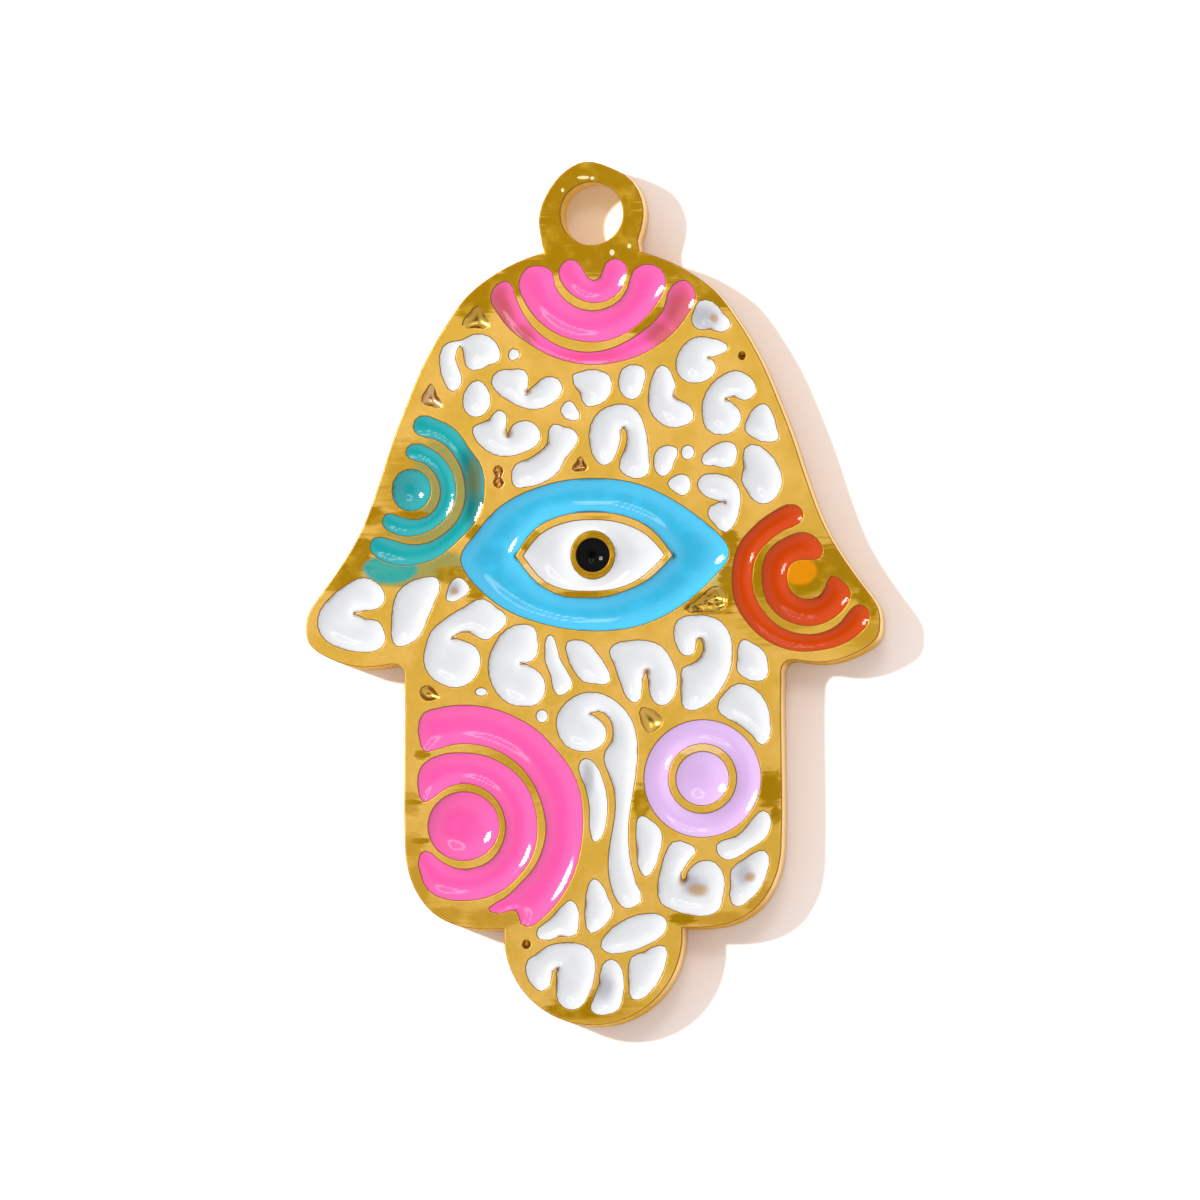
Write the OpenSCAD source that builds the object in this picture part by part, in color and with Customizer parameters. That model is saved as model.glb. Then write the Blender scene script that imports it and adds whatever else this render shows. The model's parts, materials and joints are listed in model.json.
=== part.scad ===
/* [Hand plate] */
// Width from fingertip to fingertip
hand_w = 20; // [14:0.5:40]
// Height from the foot to the top of the crown
hand_h = 27; // [19:0.5:54]
// Thickness of the metal plate
plate_t = 1.6; // [1.2:0.1:3]

/* [Hanging ring] */
// Diameter of the hole that a jump ring goes through
ring_hole_d = 2.2; // [1.6:0.1:4]
// Width of the metal round the hole
ring_wall = 0.7; // [0.5:0.05:1.5]

/* [Enamel] */
// Depth of the pockets in the face
pocket_depth = 0.5; // [0.3:0.05:0.8]
// Distance from the face down to the flat top of the enamel
fill_drop = 0.05; // [0.02:0.01:0.15]
// Clearance between an enamel fill and the metal round it
fill_gap = 0.02; // [0.01:0.01:0.05]

/* [Curves] */
// Longest straight piece of a curved edge
piece_length = 0.35; // [0.1:0.05:0.6]
// Longest straight piece of a round edge
round_piece_length = 0.2; // [0.1:0.05:0.6]
// Fewest straight pieces between two points of a curved edge
fewest_steps = 2; // [2:1:6]
// Fewest straight pieces of a round edge
fewest_sides = 24; // [16:4:64]

/* [Hidden] */

floor_z = plate_t - pocket_depth;
fill_z = plate_t - fill_drop;
cut_over = 0.1;
// Height of the whole pendant's middle over the foot, where the origin is
middle_y = (hand_h + ring_hole_d + ring_wall) / 2;
ring_y = hand_h + ring_hole_d / 2 - middle_y;
bore_sides = 64;
// How far a curve's pull points lie from its rows, as a share of the distance between the rows
handle_share = 0.35;
// How many times fill_gap the sharpest corner of a fill may move
corner_stretch = 2;
// The tables count the hand's size in this many shares
share_count = 1000;

// Every outline below is a closed curve through its rows. The columns are
// x in thousandths of hand_w from the middle line, y in thousandths of
// hand_h from the foot, and for a sharp point a third value, 0

// Right half of the plate's edge, from under the palm to the crown
PALM_EDGE = [
    [157, 124, 0], [210, 125], [245, 131], [280, 146], [303, 166], [318, 189], [326, 215],
    [328, 245], [328, 340], [328, 440], [329, 455], [339, 464], [365, 463], [396, 461],
    [426, 464], [450, 470], [470, 477], [486, 485], [496, 494], [500, 508], [499, 522],
    [495, 532], [487, 542], [467, 562], [440, 590], [411, 625], [371, 699], [349, 749],
    [323, 799], [294, 849], [256, 898], [213, 940], [178, 960], [128, 980], [66, 994],
];
PALM_TOP = [0, 1000];
// Lobe under the palm. Columns: x, y, half width and half height, in the same shares
FOOT = [0, 115, 155, 115];

// Columns: angle round the hole, metal there as a share of ring_wall
RING_EDGE = [
    [-20, 1.02], [5, 1.01], [37, 0.99], [68, 0.88], [98, 1.02], [122, 0.92], [147, 0.85],
    [168, 0.94], [188, 1.09], [205, 1.21], [220, 1.48], [270, 1.1], [321, 1.48], [329, 1.1],
];

CROWN_OUTER = [
    [-176, 936], [-165, 951], [-145, 954], [-134, 936], [-115, 907], [-69, 875], [0, 862],
    [77, 882], [125, 915], [142, 947], [164, 953], [181, 936], [164, 906], [112, 869],
    [42, 849], [-30, 849], [-108, 874], [-160, 910],
];
CROWN_MIDDLE = [
    [-127, 950], [-113, 971], [-91, 974], [-70, 967], [-64, 948], [-47, 930], [0, 915],
    [25, 918], [49, 928], [64, 945], [73, 966], [92, 974], [120, 968], [129, 954],
    [112, 923], [73, 893], [16, 876], [-26, 878], [-80, 896], [-116, 928],
];
CROWN_INNER = [
    [-57, 965], [-47, 979], [-32, 981], [-19, 973], [-8, 959], [3, 954], [15, 958],
    [25, 976], [41, 982], [60, 973], [60, 958], [38, 933], [1, 926], [-26, 933], [-48, 948],
];

TEAL_OUTER = [
    [-300, 783], [-271, 778], [-242, 767], [-214, 740], [-192, 715], [-188, 690],
    [-195, 658], [-238, 620], [-264, 604], [-305, 593], [-347, 593], [-375, 602],
    [-388, 614], [-380, 627], [-358, 626], [-320, 618], [-286, 620], [-258, 631],
    [-236, 647], [-223, 668], [-221, 690], [-236, 727], [-255, 745], [-277, 754],
    [-303, 759], [-312, 769],
];
TEAL_INNER = [
    [-314, 747], [-282, 741], [-255, 724], [-238, 694], [-245, 663], [-264, 645],
    [-292, 633], [-319, 629], [-347, 633], [-366, 645], [-358, 658], [-340, 655],
    [-314, 650], [-290, 653], [-271, 666], [-264, 687], [-282, 716], [-297, 724],
    [-319, 729], [-325, 737],
];
TEAL_DOT = [
    [-315, 715], [-291, 707], [-281, 688], [-291, 669], [-315, 661], [-338, 667],
    [-349, 687], [-338, 709],
];

ORANGE_OUTER = [
    [352, 663], [363, 658], [367, 648], [359, 639], [337, 632], [309, 618], [287, 600],
    [278, 573], [284, 545], [302, 523], [331, 505], [365, 497], [402, 499], [433, 512],
    [450, 528], [463, 534], [479, 528], [481, 515], [463, 497], [431, 483], [396, 477],
    [357, 476], [322, 483], [292, 496], [268, 515], [250, 537], [244, 563], [246, 589],
    [257, 614], [281, 635], [313, 653],
];
ORANGE_INNER = [
    [372, 627], [391, 619], [401, 604], [396, 595], [374, 593], [352, 591], [340, 580],
    [339, 566], [346, 552], [368, 542], [394, 545], [406, 557], [416, 571], [436, 564],
    [449, 549], [442, 534], [420, 518], [392, 509], [357, 510], [324, 522], [304, 540],
    [296, 564], [297, 587], [311, 608], [337, 621],
];

EYE_BLUE = [
    [-229, 597], [-226, 608], [-209, 625], [-160, 665], [-86, 691], [1, 700], [84, 691],
    [154, 665], [206, 636], [228, 620], [238, 606], [234, 592], [216, 576], [151, 534],
    [83, 511], [-8, 505], [-92, 516], [-142, 530], [-199, 562], [-222, 583],
];
EYE_RIM = [
    [-134, 602, 0], [-100, 636], [-52, 653], [1, 657], [55, 652], [104, 634], [141, 600, 0],
    [101, 571], [57, 555], [13, 547], [-8, 547], [-48, 549], [-95, 566],
];
EYE_WHITE = [
    [-120, 602, 0], [-92, 628], [-50, 643], [1, 647], [52, 642], [96, 626], [126, 601, 0],
    [90, 575], [57, 562], [13, 556], [-8, 556], [-38, 557], [-81, 568],
];

PINK_OUTER = [
    [-293, 402], [-302, 390], [-301, 367], [-293, 353], [-278, 354], [-245, 361],
    [-202, 361], [-167, 353], [-133, 337], [-109, 317], [-93, 294], [-83, 267],
    [-81, 254], [-86, 228], [-101, 203], [-127, 181], [-154, 163], [-177, 153],
    [-181, 149], [-176, 146], [-157, 145], [-136, 148], [-128, 139], [-125, 131],
    [-111, 127], [-88, 138], [-62, 158], [-42, 181], [-27, 209], [-19, 241], [-18, 273],
    [-25, 305], [-42, 332], [-67, 355], [-97, 378], [-135, 395], [-185, 408],
    [-229, 411], [-272, 407],
];
PINK_INNER = [
    [-295, 288], [-279, 293], [-261, 303], [-229, 311], [-190, 304], [-164, 286],
    [-152, 262], [-156, 235], [-174, 214], [-207, 202], [-244, 203], [-272, 215],
    [-292, 225], [-302, 218], [-300, 196], [-287, 175], [-261, 164], [-227, 161],
    [-190, 164], [-157, 174], [-129, 192], [-108, 214], [-98, 240], [-98, 265],
    [-106, 291], [-123, 314], [-152, 333], [-185, 345], [-228, 350], [-267, 347],
    [-296, 335], [-304, 321], [-303, 302],
];

// Round shapes, with the columns of the foot's lobe
PUPIL = [1, 602, 29.5, 22];
PUPIL_RIM = [1, 602, 39, 31.5];
PINK_DOT = [-225, 256, 62, 44];
LILAC_DOT = [191, 314, 46, 34.5];
LILAC_RIM = [191, 314, 60, 45];
LILAC_RING = [191, 314, 101.5, 75];

WHITE_ABOVE = [
    // arch at the upper left, with a thin neck between its legs
    [[-226, 880], [-207, 887], [-179, 884], [-162, 869], [-162, 853], [-179, 848],
     [-207, 841], [-219, 847], [-224, 865], [-230, 873], [-236, 866], [-238, 855],
     [-229, 837], [-228, 825], [-243, 814], [-256, 825], [-265, 849], [-260, 871],
     [-249, 877], [-233, 879]],
    // small drop beside it
    [[-145, 860], [-138, 868], [-125, 860], [-132, 855], [-142, 854]],
    // egg
    [[-199, 828], [-183, 818], [-177, 800], [-186, 786], [-203, 781], [-220, 788],
     [-225, 801], [-217, 819]],
    // heart lying on its side
    [[-175, 826], [-164, 839], [-140, 841], [-118, 840], [-111, 831], [-114, 811, 0],
     [-99, 821], [-79, 831], [-59, 828], [-51, 815], [-72, 796], [-99, 790],
     [-122, 793], [-144, 801], [-168, 815]],
    // block on the middle line
    [[-33, 833], [-24, 836], [22, 836], [31, 831], [33, 810], [24, 800], [2, 793],
     [-9, 793], [-20, 810]],
    // drop under the block
    [[-39, 800], [-27, 791], [-22, 777], [-35, 775], [-54, 786], [-49, 796]],
    // heart with a long left arm
    [[-207, 767], [-196, 772], [-179, 777], [-164, 789], [-150, 784], [-150, 768],
     [-147, 757, 0], [-137, 770], [-120, 775], [-104, 773], [-91, 762], [-90, 752],
     [-122, 734], [-148, 730], [-172, 733], [-195, 745], [-206, 757]],
    // boomerang over the eye
    [[-67, 770], [-75, 762], [-77, 746], [-91, 735], [-113, 725], [-133, 719],
     [-140, 702], [-133, 690], [-118, 690], [-74, 700], [-57, 711], [-46, 726],
     [-30, 741], [-24, 753], [-33, 763], [-50, 767]],
    // tall arch over the eye
    [[21, 717], [7, 724], [-3, 743], [-2, 768], [14, 786], [39, 794], [61, 794],
     [80, 785], [92, 765], [99, 727], [98, 706], [85, 700], [61, 703], [48, 713],
     [57, 735], [62, 751], [55, 765], [50, 752], [44, 735], [33, 721]],
    // small block right of the middle
    [[54, 840], [78, 845], [92, 840], [90, 820], [84, 807], [71, 801], [54, 807],
     [47, 821], [49, 832]],
    // kidney
    [[121, 844], [108, 833], [100, 812], [102, 786], [115, 773], [134, 765],
     [158, 766], [177, 775], [171, 791], [156, 798], [143, 805], [146, 818],
     [141, 829], [132, 841]],
    // open curl at the upper right
    [[187, 880], [169, 875], [152, 860], [147, 845], [150, 834], [165, 823],
     [182, 821], [202, 825], [216, 836], [213, 848], [204, 853, 0], [226, 858],
     [238, 865], [226, 874], [208, 878]],
    // triangle under the crown's right end
    [[188, 926], [210, 925], [229, 910], [243, 894], [227, 886], [207, 890],
     [186, 890], [175, 899], [179, 914]],
    // second open curl
    [[251, 836], [230, 831], [208, 818], [194, 798], [193, 779], [200, 762],
     [229, 754], [248, 759], [260, 773], [256, 786], [234, 800, 0], [247, 803],
     [265, 798], [281, 803], [286, 812], [281, 823], [269, 831]],
    // triangle at the right edge
    [[301, 793], [312, 784], [322, 761], [325, 748], [311, 744], [279, 751],
     [267, 760], [272, 775], [284, 788]],
    // teardrop
    [[108, 722], [111, 732], [124, 740], [141, 740], [149, 736], [143, 720],
     [133, 705], [122, 702], [111, 709]],
    // small fan
    [[191, 721], [203, 735], [218, 742], [235, 745], [249, 741], [251, 722],
     [244, 713], [211, 715], [196, 716]],
    // bean at the right edge
    [[266, 735], [278, 741], [305, 732], [325, 712], [331, 695], [327, 681],
     [314, 669], [298, 665], [283, 669], [270, 682], [261, 695], [265, 712]],
    // small triangle by the eye
    [[132, 693], [143, 701], [157, 704], [169, 700], [170, 685], [161, 677], [144, 682]],
    // hook by the eye
    [[184, 690], [191, 701], [205, 704], [224, 703], [244, 697], [257, 683],
     [257, 660], [249, 641], [233, 629], [211, 642], [202, 652], [206, 662],
     [230, 668, 0], [205, 673], [191, 680]],
];
ROUND_ABOVE = [[167, 732, 11, 9]];

WHITE_BELOW = [
    // big open shape in the left finger
    [[-398, 576], [-377, 570], [-364, 558], [-363, 546], [-374, 537], [-396, 534],
     [-416, 531, 0], [-396, 523], [-374, 520], [-364, 508], [-362, 493], [-376, 483],
     [-401, 481], [-438, 486], [-466, 497], [-479, 514], [-475, 534], [-457, 551],
     [-431, 566]],
    // tall lens beside it
    [[-288, 576], [-272, 575], [-266, 566], [-274, 546], [-288, 522], [-301, 501],
     [-322, 490], [-341, 488], [-348, 494], [-350, 514], [-348, 537], [-340, 556],
     [-318, 570], [-303, 574]],
    // small triangle by the eye's left tip
    [[-235, 575], [-220, 569], [-214, 559], [-231, 548], [-242, 544], [-254, 547],
     [-253, 556], [-244, 571]],
    // large curl
    [[-190, 547], [-166, 535], [-149, 523], [-154, 512], [-171, 501], [-183, 495],
     [-199, 498], [-216, 505], [-235, 503], [-244, 498, 0], [-223, 493], [-203, 485],
     [-195, 471], [-199, 454], [-214, 440], [-238, 434], [-264, 439], [-285, 451],
     [-294, 469], [-290, 488], [-281, 506], [-260, 520], [-225, 536]],
    // kidney with a notch
    [[-120, 514], [-102, 510], [-96, 497], [-97, 475], [-106, 467], [-123, 464, 0],
     [-101, 457], [-85, 444], [-83, 427], [-96, 412], [-120, 409], [-146, 413],
     [-167, 427], [-180, 449], [-181, 467], [-170, 489], [-149, 508]],
    // spike
    [[-73, 500], [-66, 494], [-58, 471], [-42, 450], [-35, 438], [-45, 426],
     [-60, 423], [-68, 431], [-72, 448], [-82, 466], [-82, 480], [-79, 497]],
    // lens on the middle line
    [[-31, 493], [-44, 490], [-44, 475], [-33, 455], [-16, 440], [7, 437], [26, 437],
     [31, 443], [25, 457], [7, 477], [-8, 489]],
    // arch with two legs
    [[30, 478], [37, 486], [62, 491], [96, 491], [120, 484], [139, 464], [148, 440],
     [142, 420], [128, 409], [112, 410], [101, 422], [98, 440], [94, 452, 0],
     [87, 441], [84, 420], [76, 412], [60, 419], [51, 434], [37, 464]],
    // hook with a curled head
    [[175, 523], [201, 522], [225, 514], [240, 496], [244, 474], [239, 450],
     [226, 431], [203, 411], [179, 402], [160, 404], [155, 418], [155, 440],
     [157, 455], [172, 460], [189, 470], [193, 487], [186, 494], [180, 485],
     [176, 474], [160, 472], [148, 483], [142, 501], [149, 517]],
    // block at the right edge
    [[263, 491], [277, 487], [299, 475], [305, 460], [301, 441], [286, 438],
     [262, 444], [252, 452], [253, 466], [256, 486]],
    // wedge under the block
    [[254, 435], [280, 429], [302, 410], [309, 388], [307, 365], [295, 356],
     [279, 368], [250, 385], [223, 397], [218, 405], [230, 423]],
    // thin curved strip
    [[-11, 341], [3, 335], [17, 315], [25, 289], [24, 263], [16, 242], [3, 234],
     [-3, 244], [-6, 283], [-14, 308], [-24, 328], [-20, 338]],
    // long hook with a curled top
    [[-62, 380], [-62, 394], [-54, 406], [-33, 420], [-7, 426], [19, 423], [44, 412],
     [65, 394], [75, 375], [78, 350], [75, 321], [68, 289], [62, 257], [62, 230],
     [67, 204], [75, 182], [84, 158], [74, 152], [57, 149], [43, 158], [32, 177],
     [27, 202], [29, 226], [36, 255], [40, 280], [37, 303], [27, 324], [20, 340],
     [24, 352], [34, 363], [36, 380], [29, 393], [10, 402], [-3, 399, 0], [12, 390],
     [23, 379], [21, 363], [2, 352], [-24, 351], [-48, 359]],
    // rounded triangle
    [[86, 267], [99, 262], [117, 250], [121, 239], [115, 217], [105, 198], [92, 189],
     [82, 198], [77, 225], [76, 252], [79, 264]],
    // bean under the lilac ring
    [[296, 272], [307, 267], [309, 251], [300, 237], [274, 224], [248, 212],
     [231, 210], [217, 219], [216, 229], [234, 236], [248, 239], [261, 246], [281, 264]],
    // four-sided cell at the lower right edge
    [[298, 221], [306, 213], [303, 194], [294, 177], [270, 157], [251, 150],
     [241, 155], [240, 177], [241, 197], [263, 210], [280, 218]],
    // spiral
    [[139, 233], [165, 231], [179, 223], [171, 213], [158, 199], [154, 186],
     [158, 184], [165, 194], [177, 204], [193, 209], [213, 206], [228, 188],
     [226, 162], [219, 146], [200, 139], [170, 140], [137, 147], [118, 156],
     [113, 176], [118, 197], [129, 222]],
    // triangle over the foot
    [[-40, 160], [-29, 154], [-25, 131], [-30, 116], [-58, 114], [-92, 110],
     [-98, 117], [-74, 136], [-48, 156]],
    // drop over the foot
    [[1, 187], [14, 181], [26, 163], [35, 145], [27, 133], [11, 122], [-5, 118],
     [-13, 133], [-13, 153], [-8, 177]],
    // lens over the foot
    [[96, 142], [120, 139], [129, 130], [122, 115], [94, 102], [57, 93], [22, 94],
     [14, 100], [22, 115], [48, 131], [76, 140]],
    // hook in the foot
    [[-58, 105], [-30, 105], [-7, 98], [4, 80], [2, 60], [-8, 38], [-25, 22],
     [-45, 21], [-60, 30], [-64, 50], [-62, 73, 0], [-70, 69], [-75, 52], [-90, 44],
     [-103, 50], [-116, 66], [-113, 84], [-100, 90], [-80, 101]],
    // bean in the foot
    [[31, 84], [46, 77], [53, 60], [52, 38], [44, 20], [26, 14], [6, 14], [-4, 20],
     [0, 32], [11, 53], [17, 77]],
    // wedge in the foot
    [[114, 101], [126, 99], [127, 81], [117, 60], [100, 42], [79, 32], [67, 34],
     [63, 50], [62, 74], [67, 86], [90, 93]],
];
ROUND_BELOW = [[-194, 428, 10, 5], [-88, 396, 10, 8]];

// Pockets that hold no enamel
BARE_PITS = [
    // triangle under the crown's left end
    [[-226, 899], [-213, 914], [-198, 924], [-187, 911], [-179, 898], [-203, 896]],
    // triangle at the left edge
    [[-297, 802], [-288, 817], [-281, 824], [-271, 809], [-262, 795], [-280, 796]],
    // double pit by the eye
    [[-163, 718], [-155, 711], [-160, 703], [-154, 696], [-163, 689], [-172, 697],
     [-167, 704], [-172, 712]],
    // small triangle over the eye
    [[-34, 712], [-27, 721], [-19, 728], [-14, 721], [-9, 713], [-21, 710]],
    // pit under the left finger
    [[-298, 434], [-284, 436], [-272, 427], [-268, 422], [-276, 419], [-290, 418],
     [-299, 424]],
    // triangle beside the long hook
    [[85, 405], [93, 405], [117, 395], [122, 389], [112, 378], [100, 373], [90, 380],
     [84, 392]],
    // wide pit between the eye and the right finger
    [[160, 531], [178, 540], [192, 549], [205, 557], [218, 560], [231, 553],
     [234, 540], [228, 531], [194, 528]],
];
ROUND_PITS = [[262, 855, 6, 5], [-116, 104, 7, 5.5]];

// Row of a table, counted round and round
function row(rows, i) = rows[(i + len(rows)) % len(rows)];
// Shares of the hand's size turned into millimetres
function place(share) = [share[0] * hand_w, share[1] * hand_h] / share_count - [0, middle_y];
// How round the curve is at a row, from 0 at a sharp point to 1
function softness(share) = len(share) > 2 ? share[2] : 1;

// Direction of the curve at b, on its way from a to c
function heading(a, b, c) =
    let (before = norm(b - a), after = norm(c - b),
         way = (b - a) * after / before + (c - b) * before / after)
    way / norm(way);

// Point at the share t of a cubic from a to d, pulled towards b and c
function cubic(a, b, c, d, t) =
    pow(1 - t, 3) * a + 3 * pow(1 - t, 2) * t * b + 3 * (1 - t) * t * t * c + pow(t, 3) * d;

// Closed curve through points in millimetres, each as round as softs says
function curve(points, softs = []) = [
    for (i = [0 : len(points) - 1])
        let (a = row(points, i - 1), b = points[i], c = row(points, i + 1), d = row(points, i + 2),
             reach = norm(c - b) * handle_share,
             soft = len(softs) > 0 ? [softs[i], row(softs, i + 1)] : [1, 1],
             leave = b + heading(a, b, c) * reach * soft[0],
             arrive = c - heading(b, c, d) * reach * soft[1],
             steps = max(fewest_steps, ceil(norm(c - b) / piece_length)))
        for (step = [0 : steps - 1]) cubic(b, leave, arrive, c, step / steps)
];

// Closed outline through the rows of a table
function outline(rows) = curve([for (share = rows) place(share)], [for (share = rows) softness(share)]);

// Outline of a round shape, from its row of centre and half sizes
function round_outline(shape) =
    let (girth = 2 * PI * shape[2] * hand_w / share_count,
         sides = max(fewest_sides, ceil(girth / round_piece_length)))
    [
        for (side = [0 : sides - 1])
            let (turn = 360 * side / sides)
            place([shape[0] + shape[2] * cos(turn), shape[1] + shape[3] * sin(turn)])
    ];

// Whether an outline runs counterclockwise, as 1, or clockwise, as -1
function winding(points) =
    let (last = len(points) - 1,
         turns = [for (i = [0 : last]) cross(points[i], row(points, i + 1))])
    sign(turns * [for (i = [0 : last]) 1]);

// Direction of a step, as a step of length 1
function unit(step) = step / norm(step);

// Outline moved inwards by a distance, or outwards if it is negative. A corner
// moves further than its sides, so that both keep the distance
function inset(points, distance) =
    let (side = winding(points) * distance)
    [for (i = [0 : len(points) - 1])
        let (here = points[i],
             way = (unit(here - row(points, i - 1)) + unit(row(points, i + 1) - here)) / 2,
             stretch = min(1 / norm(way), corner_stretch))
        here + side * stretch * unit([-way[1], way[0]])];

// The same row on the other side of the middle line
function mirrored(share) = [-share[0], share[1], softness(share)];

// Block between two heights, under a closed outline
module prism(points, from, to) {
    translate([0, 0, from]) linear_extrude(to - from) polygon(points);
}

// One enamel fill on its pocket's floor, open in the middle where it rings
// other metal
module fill(points, hole = []) {
    difference() {
        prism(inset(points, fill_gap), floor_z, fill_z);
        if (len(hole) > 0) prism(inset(hole, -fill_gap), floor_z - cut_over, fill_z + cut_over);
    }
}

// One pocket in the face, which leaves the metal of an island standing
module pocket(points, island = []) {
    difference() {
        prism(points, floor_z, plate_t + cut_over);
        if (len(island) > 0) prism(island, floor_z - cut_over, plate_t + 2 * cut_over);
    }
}

// Palm, fingers and crown in one outline, the foot's lobe and the ring
module plate_blank() {
    left_edge = [for (i = [len(PALM_EDGE) - 1 : -1 : 0]) mirrored(PALM_EDGE[i])];
    prism(outline(concat(PALM_EDGE, [PALM_TOP], left_edge)), 0, plate_t);
    prism(round_outline(FOOT), 0, plate_t);
    ring_points = [
        for (edge = RING_EDGE)
            let (reach = ring_hole_d / 2 + ring_wall * edge[1])
            [reach * cos(edge[0]), ring_y + reach * sin(edge[0])]
    ];
    prism(curve(ring_points), 0, plate_t);
}

module enamel_pockets() {
    for (rows = [CROWN_OUTER, CROWN_MIDDLE, CROWN_INNER, TEAL_OUTER, TEAL_INNER, TEAL_DOT,
                 ORANGE_OUTER, ORANGE_INNER, PINK_OUTER, PINK_INNER]) pocket(outline(rows));
    pocket(outline(EYE_BLUE), outline(EYE_RIM));
    pocket(outline(EYE_WHITE), round_outline(PUPIL_RIM));
    pocket(round_outline(LILAC_RING), round_outline(LILAC_RIM));
    for (shape = [PUPIL, PINK_DOT, LILAC_DOT]) pocket(round_outline(shape));
    for (rows = concat(WHITE_ABOVE, WHITE_BELOW)) pocket(outline(rows));
    for (shape = concat(ROUND_ABOVE, ROUND_BELOW)) pocket(round_outline(shape));
}

module bare_pits() {
    for (rows = BARE_PITS) pocket(outline(rows));
    for (shape = ROUND_PITS) pocket(round_outline(shape));
}

module hamsa_plate() {
    color("goldenrod") difference() {
        union() plate_blank();
        enamel_pockets();
        bare_pits();
        translate([0, ring_y, -cut_over])
            cylinder(h = plate_t + 2 * cut_over, d = ring_hole_d, $fn = bore_sides);
    }
}

module crown_arc_outer() { color("hotpink") fill(outline(CROWN_OUTER)); }
module crown_arc_middle() { color("hotpink") fill(outline(CROWN_MIDDLE)); }
module crown_arc_inner() { color("hotpink") fill(outline(CROWN_INNER)); }
module teal_arc_outer() { color("darkturquoise") fill(outline(TEAL_OUTER)); }
module teal_arc_inner() { color("darkturquoise") fill(outline(TEAL_INNER)); }
module teal_dot() { color("darkturquoise") fill(outline(TEAL_DOT)); }
module orange_arc_outer() { color("orangered") fill(outline(ORANGE_OUTER)); }
module orange_arc_inner() { color("orangered") fill(outline(ORANGE_INNER)); }
module eye_blue() { color("deepskyblue") fill(outline(EYE_BLUE), outline(EYE_RIM)); }
module eye_white() { color("white") fill(outline(EYE_WHITE), round_outline(PUPIL_RIM)); }
module eye_pupil() { color("black") fill(round_outline(PUPIL)); }
module pink_arc_outer() { color("hotpink") fill(outline(PINK_OUTER)); }
module pink_arc_inner() { color("hotpink") fill(outline(PINK_INNER)); }
module pink_dot() { color("hotpink") fill(round_outline(PINK_DOT)); }
module lilac_ring() { color("plum") fill(round_outline(LILAC_RING), round_outline(LILAC_RIM)); }
module lilac_dot() { color("plum") fill(round_outline(LILAC_DOT)); }

// A field of separate white cells
module white_cells(curved, rounds) {
    color("white") {
        for (rows = curved) fill(outline(rows));
        for (shape = rounds) fill(round_outline(shape));
    }
}
module white_cells_above() { white_cells(WHITE_ABOVE, ROUND_ABOVE); }
module white_cells_below() { white_cells(WHITE_BELOW, ROUND_BELOW); }

hamsa_plate();
crown_arc_outer();
crown_arc_middle();
crown_arc_inner();
teal_arc_outer();
teal_arc_inner();
teal_dot();
orange_arc_outer();
orange_arc_inner();
eye_blue();
eye_white();
eye_pupil();
pink_arc_outer();
pink_arc_inner();
pink_dot();
lilac_ring();
lilac_dot();
white_cells_above();
white_cells_below();
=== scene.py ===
import json
import math

import bmesh
import bpy
from mathutils import Matrix, Quaternion, Vector, noise


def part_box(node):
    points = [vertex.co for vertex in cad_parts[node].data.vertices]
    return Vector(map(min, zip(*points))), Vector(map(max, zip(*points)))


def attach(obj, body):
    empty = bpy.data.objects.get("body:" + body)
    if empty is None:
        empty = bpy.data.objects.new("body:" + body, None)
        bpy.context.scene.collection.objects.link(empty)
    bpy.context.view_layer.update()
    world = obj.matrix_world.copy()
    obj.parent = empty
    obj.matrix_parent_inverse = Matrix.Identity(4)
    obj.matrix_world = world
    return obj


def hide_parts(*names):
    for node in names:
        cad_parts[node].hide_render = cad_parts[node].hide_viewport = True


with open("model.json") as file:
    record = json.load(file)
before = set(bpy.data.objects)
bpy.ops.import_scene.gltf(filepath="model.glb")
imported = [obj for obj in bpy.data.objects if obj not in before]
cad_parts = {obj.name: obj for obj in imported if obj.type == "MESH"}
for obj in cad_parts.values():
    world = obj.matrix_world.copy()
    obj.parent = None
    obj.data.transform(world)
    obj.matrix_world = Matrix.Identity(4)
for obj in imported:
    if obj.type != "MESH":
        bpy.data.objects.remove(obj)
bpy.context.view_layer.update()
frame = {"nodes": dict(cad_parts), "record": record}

# The pendant lies on its back on a white surface. Lengths are in metres, in the frame of the
# model. Materials work in millimetres
MM = 0.001
PER_MM = 1 / MM
plate_low, plate_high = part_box("hamsa_plate")
fill_low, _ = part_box("eye_blue")
ring_hole = next(mount for mount in frame["record"]["mounts"] if mount["name"] == "ring_hole")
HOLE_R = ring_hole["dims"]["r_mm"] * MM
FACE_Z = plate_high.z
POCKET_Z = fill_low.z
HAND_W = plate_high.x - plate_low.x
HAND_H = ring_hole["pos_m"][1] - HOLE_R - plate_low.y

# Places on the face are in thousandths of the hand's width from its middle line, and of the
# hand's height from its foot
SHARES = 1000


def place(x, y):
    return Vector((x * HAND_W, y * HAND_H)) / SHARES + Vector((0, plate_low.y))


def reach(half_w, half_h):
    return Vector((half_w * HAND_W, half_h * HAND_H)) / SHARES


# Mesh work

# Corners this close are one corner, and heights this close are one height
MERGE = 0.0001 * MM
NEAR = 0.001 * MM
# Faces that turn less than this are one flat face, and edges that turn more are sharp
FLAT_ANGLE = math.radians(0.5)
CREASE_ANGLE = math.radians(40)
# The upward part of a face's direction, from which it looks up, and from which it is level
LOOKS_UP = 0.9
LEVEL = 0.9999

# A sagging surface is cut into squares of this size, and corners this close to its rim join it
GRID = 0.06 * MM
RIM_MERGE = 0.025 * MM
# How often its corners are spread evenly, and how far each time
EVEN_PASSES = 8
SMOOTH_SHARE = 0.5
# How often they are let down. More often makes a sag that reaches further in from the rim
WIDE_SAG = 360
NARROW_SAG = 160


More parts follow.
